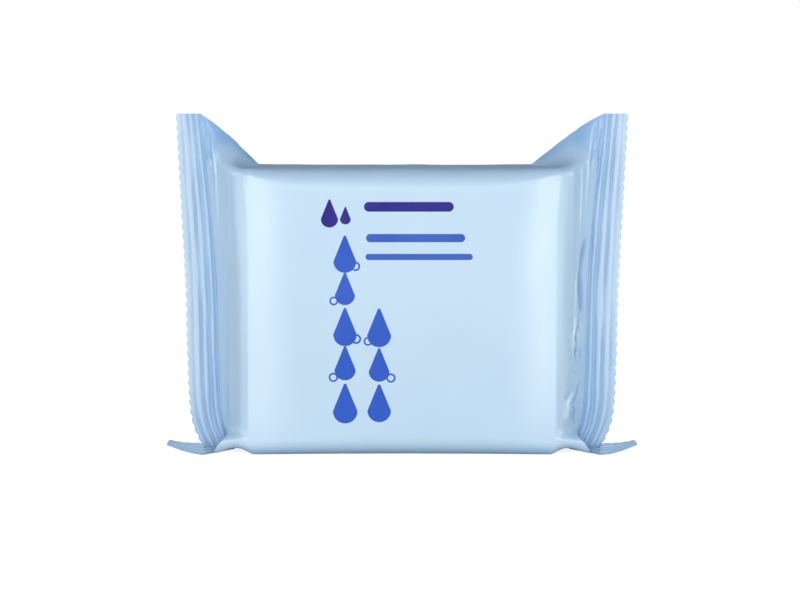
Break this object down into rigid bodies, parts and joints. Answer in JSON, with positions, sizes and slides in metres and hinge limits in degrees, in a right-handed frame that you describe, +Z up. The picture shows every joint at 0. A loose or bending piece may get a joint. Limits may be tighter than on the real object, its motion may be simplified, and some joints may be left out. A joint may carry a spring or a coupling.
{
  "type": "wet wipes pack",
  "caption": "Sealed soft film pack of folded wet wipes, standing on its long edge, with a crimped scalloped fin at each end and a seam along its back.",
  "frame": {"origin": "middle of the box round the pack, on the surface that it stands on", "axes": "+X along the face to the viewer's right, from fin to fin; the face looks towards -Y; +Z up"},
  "size_m": [0.1628, 0.0372, 0.1165],
  "materials": {
    "blue_film": "glossy pale blue printed film"
  },
  "bodies": {
    "root": {"wipes_pack": "blue_film"}
  },
  "joints": []
}
